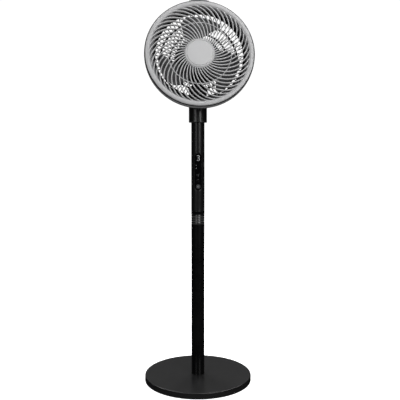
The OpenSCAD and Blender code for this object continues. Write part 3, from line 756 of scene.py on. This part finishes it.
trim = fillet([(141.5, 4.6, 0.3), (143.7, 4.6, 0.1), (143.7, 3.0, 0.2), (145.8, 3.0, 0.5),
               (145.8, 6.0, 0.3), (145.2, 6.4, 0.3), (145.2, 10.8, 0.3), (141.5, 10.8, 0.3)])
ears = [block(side * EAR_X, EAR_H, EAR_D, 2.4, 7.0, 3.2) for side in (-1, 1)]
piece("trim_band", [lathe(trim, head, 320)] + ears, MATS["trim_grey"], "head", ["trim_ring"])
piece("latch_tab", latch_part(), MATS["latch_silver"], "latch", ["latch"])

# ---- head, rear ----

REAR_COUNT, REAR_RIB_R, REAR_RIB_RUN = 72, 144.8, 81
BOWL_FRONT, BOWL_DEPTH = 16, 60.0
RIM_BORE = 144.5


def bowl_d(r):
    """Depth of the bowl's outside at a radius."""
    return BOWL_FRONT + BOWL_DEPTH * np.sqrt(np.maximum(0, 1 - (r / SHELL_R) ** 2))


def rear_rib(angle):
    """One straight radial rib of the bowl with a rounded outer edge."""
    s = np.linspace(0, 1, 48)
    r = REAR_RIB_R - REAR_RIB_RUN * s ** 1.1
    d = bowl_d(r)
    tr, td = np.gradient(r), np.gradient(d)
    length = np.hypot(tr, td)
    nr, nd = td / length, -tr / length
    flat = fillet([(-1, 0, 0.8), (1, 0, 0.8), (0.8, -3.6, 0.3), (-0.8, -3.6, 0.3)], 30)
    c, sn = math.cos(angle), math.sin(angle)
    rings = []
    for k in range(len(r)):
        rr = r[k] + flat[:, 1] * nr[k]
        dd = d[k] + flat[:, 1] * nd[k]
        rings.append(head(rr * c - flat[:, 0] * sn, rr * sn + flat[:, 0] * c, dd))
    return loft(np.array(rings))


def bowl_ring(r0, r1, depth):
    """A ring whose outer face follows the bowl between two radii."""
    d0, d1 = float(bowl_d(r0)), float(bowl_d(r1))
    return fillet([(r0, d0, 1.2), (r1, d1, 1.2), (r1 - 0.6, d1 - depth, 0.5),
                   (r0 + 0.6, d0 - depth, 0.5)])


rim = [(RIM_BORE, 11), (SHELL_R - 0.4, 11), (SHELL_R, 11.4)]
rim += [(r, float(bowl_d(r))) for r in SHELL_R - 3.2 * np.linspace(0, 1, 10) ** 2]
rim += [(SHELL_R - 6.4, float(bowl_d(SHELL_R - 4)) - 1.0),
        (SHELL_R - 6.0, float(bowl_d(SHELL_R - 3)) - 2.5), (RIM_BORE, 18)]
disc = fillet([(32.1, 66.2, 0.4), (67, 66.2, 1.0), (67.2, 69.4, 1.2), (54, 71.6, 1.5),
               (51.7, 76, 1.2), (32.1, 76, 0.4)])
piece("grille_rear", [lathe(np.array(rim), head, 320), lathe(bowl_ring(102, 107.2, 5.2), head, 256),
                      lathe(bowl_ring(76.8, 81.6, 5.0), head, 256), lathe(disc, head, 160)]
      + [rear_rib(TAU * i / REAR_COUNT) for i in range(REAR_COUNT)],
      MATS["rear_black"], "head", ["rear_grille"])

# ---- rotor ----

BLADES, BLADE_ROOT, BLADE_TIP = 3, 26.5, 110
BLADE_THICK, BLADE_CUP, BLADE_LIFT = 1.9, 3, 0.9
TIP_BAND = 10                   # the last part of the radius, with closer rows
TIP_START, TIP_CUT = 97, 6.5    # radius where the corners start to round, and the degrees they take

# Radius, front-view angles of the trailing and leading edges, depth of both edges.
SECTIONS = np.array([
    [26, 136, 100, 20, 37], [40, 133, 90, 17.5, 36], [56, 130, 79, 16, 35],
    [74, 126.5, 67, 15.5, 34.5], [92, 120.5, 58, 15.5, 35], [104, 116, 55, 16.5, 36],
    [110, 113, 55, 17.5, 36]], float)


def smooth_table(table, at):
    """Reads the section table at any radius with a smooth cubic through its rows."""
    x = table[:, 0]
    slopes = np.gradient(table[:, 1:], x, axis=0)
    i = np.clip(np.searchsorted(x, at) - 1, 0, len(x) - 2)
    h = x[i + 1] - x[i]
    t = (at - x[i]) / h
    p0, p1, m0, m1 = table[i, 1:], table[i + 1, 1:], slopes[i] * h, slopes[i + 1] * h
    return ((2 * t ** 3 - 3 * t ** 2 + 1) * p0 + (t ** 3 - 2 * t ** 2 + t) * m0
            + (-2 * t ** 3 + 3 * t ** 2) * p1 + (t ** 3 - t ** 2) * m1)


def blade(turn):
    """A swept blade: a twisted, slightly cupped sheet with round edges and round tip corners."""
    tip_radii = BLADE_TIP - TIP_BAND * (1 - np.sin(np.linspace(0, math.pi / 2, 16)))[1:]
    radii = np.concatenate([np.linspace(BLADE_ROOT, BLADE_TIP - TIP_BAND, 34), tip_radii])
    u = 0.5 - 0.5 * np.cos(np.linspace(0, math.pi, 40))
    wall = BLADE_THICK * np.sqrt(np.maximum(0, 1 - np.abs(2 * u - 1) ** 10))
    wall = wall * (0.75 + 0.25 * np.sin(np.pi * u))
    rings = []
    for r in radii:
        a_t, a_l, d_t, d_l = smooth_table(SECTIONS, r)
        k = max(0.0, (r - TIP_START) / (BLADE_TIP - TIP_START))
        cut = TIP_CUT * (1 - math.sqrt(max(0.0, 1 - k * k)))
        a_t, a_l = a_t - cut, a_l + cut * 0.8
        edge = math.sqrt(max(0.0, 1 - max(0.0, (r - 108.6) / 1.4) ** 2))
        thick = wall * max(edge, 0.12)
        ang = np.radians(a_t + (a_l - a_t) * u) + turn
        mid = d_t + (d_l - d_t) * u + BLADE_CUP * np.sin(np.pi * u) + BLADE_LIFT
        front = head(r * np.cos(ang), r * np.sin(ang), mid - thick / 2)
        back = head(r * np.cos(ang), r * np.sin(ang), mid + thick / 2)
        rings.append(np.concatenate([front, back[-2:0:-1]]))
    return loft(np.array(rings))


hub_cup = fillet([
    (4.05, 24, 0.3), (13, 24, 0.4), (13, 16, 0.8), (30, 16, 4.0), (30, 42, 0.6), (27.5, 42, 0.5),
    (27.5, 28, 2.0), (8, 28, 1.0), (8, 40, 0.5), (4.05, 40, 0.3)])
piece("rotor_blades",
      [lathe(hub_cup, head, 160)] + [blade(TAU * i / BLADES) for i in range(BLADES)],
      MATS["blade_grey"], "rotor", ["fan_blades"])

# ---- studio floor, lights, world and camera, in metres ----

FLOOR_HALF, FLOOR_Z = 9, -0.0004

ground = bpy.data.meshes.new("floor")
ground.from_pydata([(x * FLOOR_HALF, y * FLOOR_HALF, FLOOR_Z)
                    for x, y in ((-1, -1), (1, -1), (1, 1), (-1, 1))], [], [(0, 1, 2, 3)])
floor = bpy.data.objects.new("floor", ground)
scene.collection.objects.link(floor)
pale = bpy.data.materials.new("studio_floor")
pale.use_nodes = True
for socket, value in (("Base Color", (0.9, 0.9, 0.9, 1)), ("Roughness", 0.9),
                      ("Specular IOR Level", 0.0), ("Emission Color", (1, 1, 1, 1)),
                      ("Emission Strength", 1.0)):
    pale.node_tree.nodes["Principled BSDF"].inputs[socket].default_value = value
ground.materials.append(pale)
floor.visible_diffuse = False
floor.visible_glossy = False


def soft_light(name, place, aim, size, power):
    """A rectangular lamp, with its size in metres and its power in watts."""
    data = bpy.data.lights.new(name, "AREA")
    data.shape = "RECTANGLE"
    data.size, data.size_y = size
    data.energy = power
    light = bpy.data.objects.new(name, data)
    light.location = place
    light.rotation_euler = (Vector(aim) - Vector(place)).to_track_quat("-Z", "Y").to_euler()
    light.visible_camera = False
    scene.collection.objects.link(light)


soft_light("strip_left", (-1.6, -2.35, 1.76), (0, -0.1, 0.9), (0.75, 2.0), 19)
soft_light("strip_right", (1.35, -2.5, 1.76), (0, -0.1, 0.9), (0.8, 2.0), 33)
soft_light("overhead", (0.5, -1.5, 3.0), (0, -0.1, 0.85), (1.6, 1.4), 32)
soft_light("rear_left", (-1.1, 1.9, 2.9), (0, 0, 0.9), (1.2, 1.2), 45)
soft_light("rear_right", (1.0, 1.9, 2.7), (0, 0, 0.9), (0.7, 1.2), 25)
soft_light("backdrop", (0, 3.2, 1.45), (0, 0, 0.3), (3.6, 1.6), 1.8)

# The world's light by height, from straight down (0) to straight up (1). The camera sees white.
SKY_LOW, SKY_HIGH = 1.2, 0.1
SKY_STEPS = ((0.18, 0.9), (0.29, 0.01), (0.5, 0.008), (0.56, 0.012), (0.66, 0.05))

world = bpy.data.worlds.new("studio")
scene.world = world
world.use_nodes = True
wt = world.node_tree
wt.nodes.clear()
direction = node(wt, "ShaderNodeTexCoord")
split = node(wt, "ShaderNodeSeparateXYZ")
wt.links.new(direction.outputs["Generated"], split.inputs[0])
height = node(wt, "ShaderNodeMapRange")
height.inputs["From Min"].default_value = -1.0
wt.links.new(split.outputs["Z"], height.inputs["Value"])
ramp = node(wt, "ShaderNodeValToRGB")
wt.links.new(height.outputs["Result"], ramp.inputs["Fac"])
stops = ramp.color_ramp.elements
for stop, position, value in ((stops[0], 0.0, SKY_LOW), (stops[1], 1.0, SKY_HIGH)):
    stop.position = position
    stop.color = (value, value, value, 1)
for position, value in SKY_STEPS:
    stops.new(position).color = (value, value, value, 1)
dim = node(wt, "ShaderNodeBackground")
wt.links.new(ramp.outputs["Color"], dim.inputs["Color"])
bright = node(wt, "ShaderNodeBackground", Color=(1, 1, 1, 1), Strength=1.05)
path = node(wt, "ShaderNodeLightPath")
both = node(wt, "ShaderNodeMixShader")
wt.links.new(path.outputs["Is Camera Ray"], both.inputs[0])
wt.links.new(dim.outputs[0], both.inputs[1])
wt.links.new(bright.outputs[0], both.inputs[2])
out = node(wt, "ShaderNodeOutputWorld")
wt.links.new(both.outputs[0], out.inputs["Surface"])

camera_data = bpy.data.cameras.new("camera")
camera_data.lens = 52.79
camera_data.sensor_width = 36.0
camera = bpy.data.objects.new("camera", camera_data)
camera.location = (-0.0861, -1.6596, 0.6353)
camera.rotation_euler = (math.radians(90 - 4.02), 0, math.radians(-3.175))
scene.collection.objects.link(camera)
scene.camera = camera
scene.view_settings.view_transform = "Standard"

bpy.context.view_layer.update()
